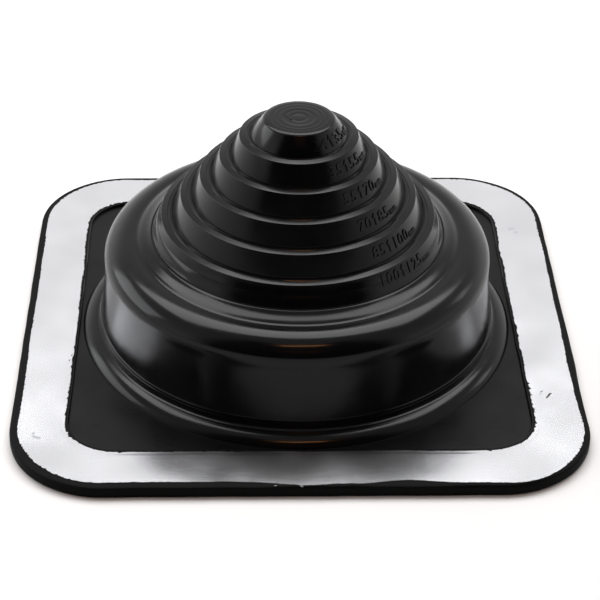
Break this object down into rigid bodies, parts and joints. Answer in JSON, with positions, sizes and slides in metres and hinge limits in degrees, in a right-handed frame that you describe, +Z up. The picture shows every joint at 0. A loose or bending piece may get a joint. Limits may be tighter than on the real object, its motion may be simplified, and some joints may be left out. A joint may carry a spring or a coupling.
{
  "type": "pipe flashing boot",
  "caption": "Hollow stepped rubber cone on a rolled turret and a square ribbed flange with a moulded-in aluminium fixing strip; seals a pipe through a roof.",
  "frame": {"origin": "on the turret's axis, in the plane of the sealing ribs' tips, which is the roof's plane", "axes": "+Z up along the turret's axis; X and Y along the flange's sides, with -Y the side seen at the front"},
  "size_m": [0.203, 0.203, 0.0891],
  "materials": {
    "moulded_rubber": "glossy moulded EPDM rubber, black, with fine flow lines and trimmed edges",
    "rolled_aluminium": "satin rolled sheet, soft enough to bend to a roof's profile"
  },
  "bodies": {
    "root": {"rubber_boot": "moulded_rubber", "aluminium_strip": "rolled_aluminium"}
  },
  "joints": []
}
